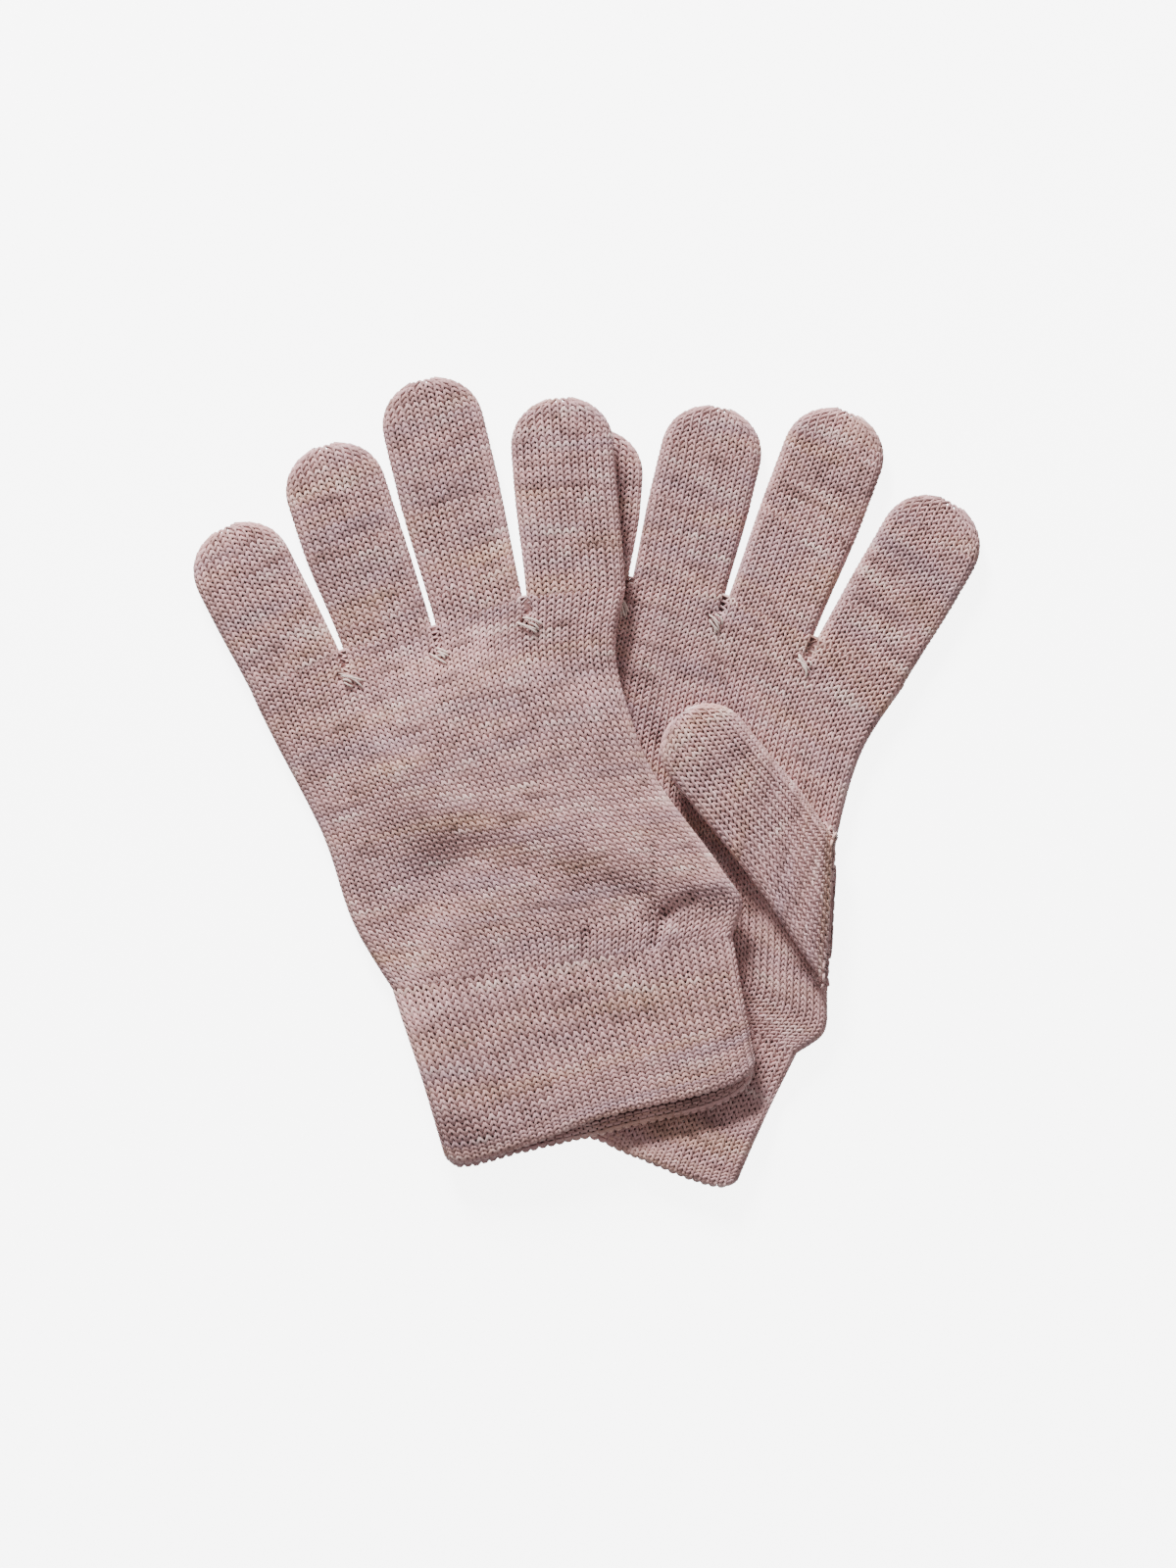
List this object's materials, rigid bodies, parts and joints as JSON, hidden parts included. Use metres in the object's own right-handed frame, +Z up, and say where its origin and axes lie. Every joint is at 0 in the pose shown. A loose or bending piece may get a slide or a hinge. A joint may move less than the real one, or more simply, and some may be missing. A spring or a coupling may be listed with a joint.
{
  "type": "pair of knitted gloves",
  "caption": "Pair of knitted wool-blend gloves lying crossed, one palm down on one palm up, with ribbed cuffs and folded thumbs.",
  "frame": {"origin": "centre of the pair's box, on the surface that it lies on", "axes": "+Z up, away from the surface; +Y towards the fingertips; +X to the right with the fingertips away from the viewer"},
  "size_m": [0.1976, 0.2076, 0.0115],
  "materials": {
    "front_knit": "heathered stocking-stitch knit, matt and slightly fuzzy",
    "rear_knit": "heathered stocking-stitch knit, matt and slightly fuzzy",
    "cuff_rib": "heathered one-by-one rib knit, matt",
    "darning_yarn": "plied yarn, matt",
    "elastic": "thin covered elastic thread"
  },
  "bodies": {
    "rear_hand": {"rear_hand": "rear_knit", "rear_darn_little_ring": "darning_yarn", "rear_darn_ring_middle": "darning_yarn", "rear_darn_middle_index": "darning_yarn"},
    "rear_cuff": {"rear_cuff": "cuff_rib", "rear_cuff_hem": "cuff_rib", "rear_elastic_thread_1": "elastic", "rear_elastic_thread_2": "elastic"},
    "rear_little_finger": {"rear_little_finger": "rear_knit"},
    "rear_ring_finger": {"rear_ring_finger": "rear_knit"},
    "rear_middle_finger": {"rear_middle_finger": "rear_knit"},
    "rear_index_finger": {"rear_index_finger": "rear_knit"},
    "rear_thumb": {"rear_thumb": "rear_knit"},
    "front_hand": {"front_hand": "front_knit", "front_darn_little_ring": "darning_yarn", "front_darn_ring_middle": "darning_yarn", "front_darn_middle_index": "darning_yarn"},
    "front_cuff": {"front_cuff": "cuff_rib", "front_cuff_hem": "cuff_rib", "front_elastic_thread_1": "elastic", "front_elastic_thread_2": "elastic"},
    "front_little_finger": {"front_little_finger": "front_knit"},
    "front_ring_finger": {"front_ring_finger": "front_knit"},
    "front_middle_finger": {"front_middle_finger": "front_knit"},
    "front_index_finger": {"front_index_finger": "front_knit"},
    "front_thumb": {"front_thumb": "front_knit"}
  },
  "joints": [
    {"name": "front_glove_lift", "type": "slide", "parent": "rear_hand", "child": "front_hand", "axis": [0, 0, 1], "range_m": [0, 0.08]},
    {"name": "rear_little_splay", "type": "hinge", "parent": "rear_hand", "child": "rear_little_finger", "pos_m": [0.01083, 0.05244, 0], "axis": [0, 0, 1], "range_deg": [-6, 0]},
    {"name": "rear_ring_fold", "type": "hinge", "parent": "rear_hand", "child": "rear_ring_finger", "pos_m": [0.02293, 0.04952, 0.0056], "axis": [0.972, -0.2351, 0], "range_deg": [0, 90]},
    {"name": "rear_middle_fold", "type": "hinge", "parent": "rear_hand", "child": "rear_middle_finger", "pos_m": [0.04617, 0.04144, 0.0056], "axis": [0.9354, -0.3535, 0], "range_deg": [0, 90]},
    {"name": "rear_index_fold", "type": "hinge", "parent": "rear_hand", "child": "rear_index_finger", "pos_m": [0.06906, 0.03061, 0.0056], "axis": [0.8686, -0.4955, 0], "range_deg": [0, 90]},
    {"name": "rear_thumb_fold", "type": "hinge", "parent": "rear_hand", "child": "rear_thumb", "pos_m": [0.06194, -0.0331, 0.00585], "axis": [0.0356, 0.9994, 0], "range_deg": [0, 178]},
    {"name": "rear_cuff_sway", "type": "hinge", "parent": "rear_hand", "child": "rear_cuff", "pos_m": [0.05142, -0.06818, 0], "axis": [0, 0, 1], "range_deg": [0, 4]},
    {"name": "front_little_fold", "type": "hinge", "parent": "front_hand", "child": "front_little_finger", "pos_m": [-0.07404, 0.02824, 0.0056], "axis": [0.8996, 0.4368, 0], "range_deg": [0, 90]},
    {"name": "front_ring_fold", "type": "hinge", "parent": "front_hand", "child": "front_ring_finger", "pos_m": [-0.05076, 0.03622, 0.0056], "axis": [0.9527, 0.304, 0], "range_deg": [0, 90]},
    {"name": "front_middle_fold", "type": "hinge", "parent": "front_hand", "child": "front_middle_finger", "pos_m": [-0.02745, 0.04275, 0.0102], "axis": [0.972, 0.2351, 0], "range_deg": [0, 90]},
    {"name": "front_index_fold", "type": "hinge", "parent": "front_hand", "child": "front_index_finger", "pos_m": [-0.00305, 0.0484, 0.0102], "axis": [0.9977, 0.068, 0], "range_deg": [0, 90]},
    {"name": "front_thumb_swing", "type": "hinge", "parent": "front_hand", "child": "front_thumb", "pos_m": [0.02288, -0.0048, 0.0038], "axis": [0, 0, 1], "range_deg": [-4, 4]},
    {"name": "front_cuff_fold", "type": "hinge", "parent": "front_hand", "child": "front_cuff", "pos_m": [-0.00672, -0.04565, 0.0108], "axis": [-0.9888, -0.1493, 0], "range_deg": [0, 90]}
  ]
}
